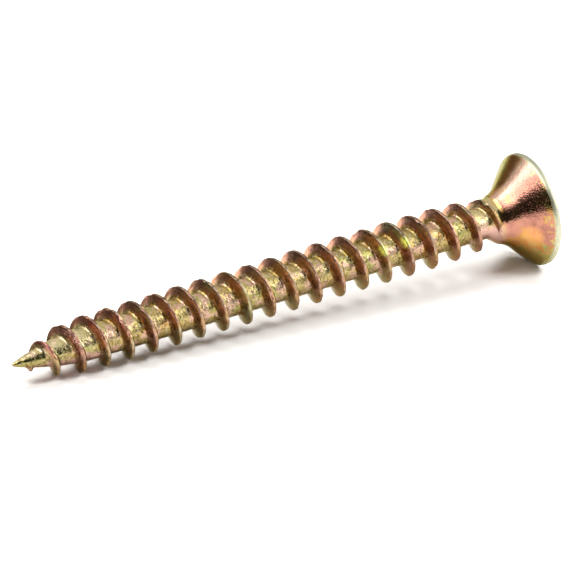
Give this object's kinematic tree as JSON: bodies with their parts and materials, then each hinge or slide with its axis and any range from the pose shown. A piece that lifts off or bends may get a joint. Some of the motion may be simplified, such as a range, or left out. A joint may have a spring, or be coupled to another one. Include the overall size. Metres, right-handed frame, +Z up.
{
  "type": "chipboard screw",
  "caption": "Countersunk chipboard screw lying on its side, with a sharp point, a coarse thread along the whole shank, a flared neck and a cross recess.",
  "frame": {"origin": "centre of the screw's box, on the surface that it lies on", "axes": "+X from the tip towards the head, +Z up"},
  "size_m": [0.0502, 0.0096, 0.0097],
  "materials": {
    "yellow_zinc_steel": "yellow passivated zinc plating, glossy and iridescent"
  },
  "bodies": {
    "root": {"screw": "yellow_zinc_steel"}
  },
  "joints": []
}
